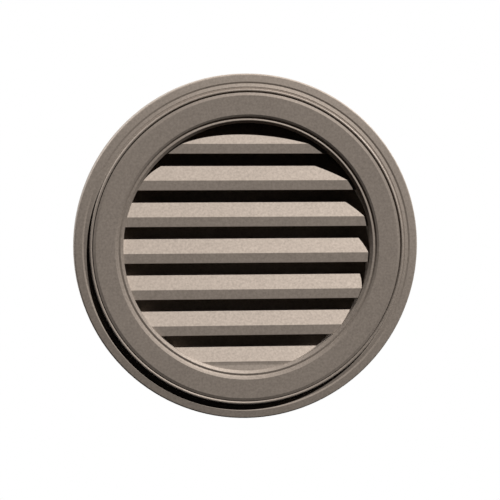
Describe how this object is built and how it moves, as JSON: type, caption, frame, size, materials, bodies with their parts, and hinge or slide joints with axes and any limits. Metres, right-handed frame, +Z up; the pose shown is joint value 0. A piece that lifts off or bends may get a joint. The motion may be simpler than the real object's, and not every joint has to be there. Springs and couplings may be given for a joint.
{
  "type": "gable vent",
  "caption": "Round louvred gable vent with a moulded base, a trim ring that snaps over the siding edge and an insect screen behind the louvres.",
  "frame": {"origin": "centre of the vent on the wall plane, where the back of the nailing flange lies", "axes": "+Y into the wall, so the vent faces -Y; +Z up; +X to the right as seen from the front"},
  "size_m": [0.5588, 0.0642, 0.5588],
  "materials": {
    "clay_plastic": "fine stippled moulded plastic in a warm clay colour, low sheen",
    "trim_plastic": "the base's plastic and colour, low sheen",
    "screen_mesh": "black coated glass-fibre mesh"
  },
  "bodies": {
    "root": {"vent_base": "clay_plastic", "trim_ring": "trim_plastic", "insect_screen": "screen_mesh"}
  },
  "joints": []
}
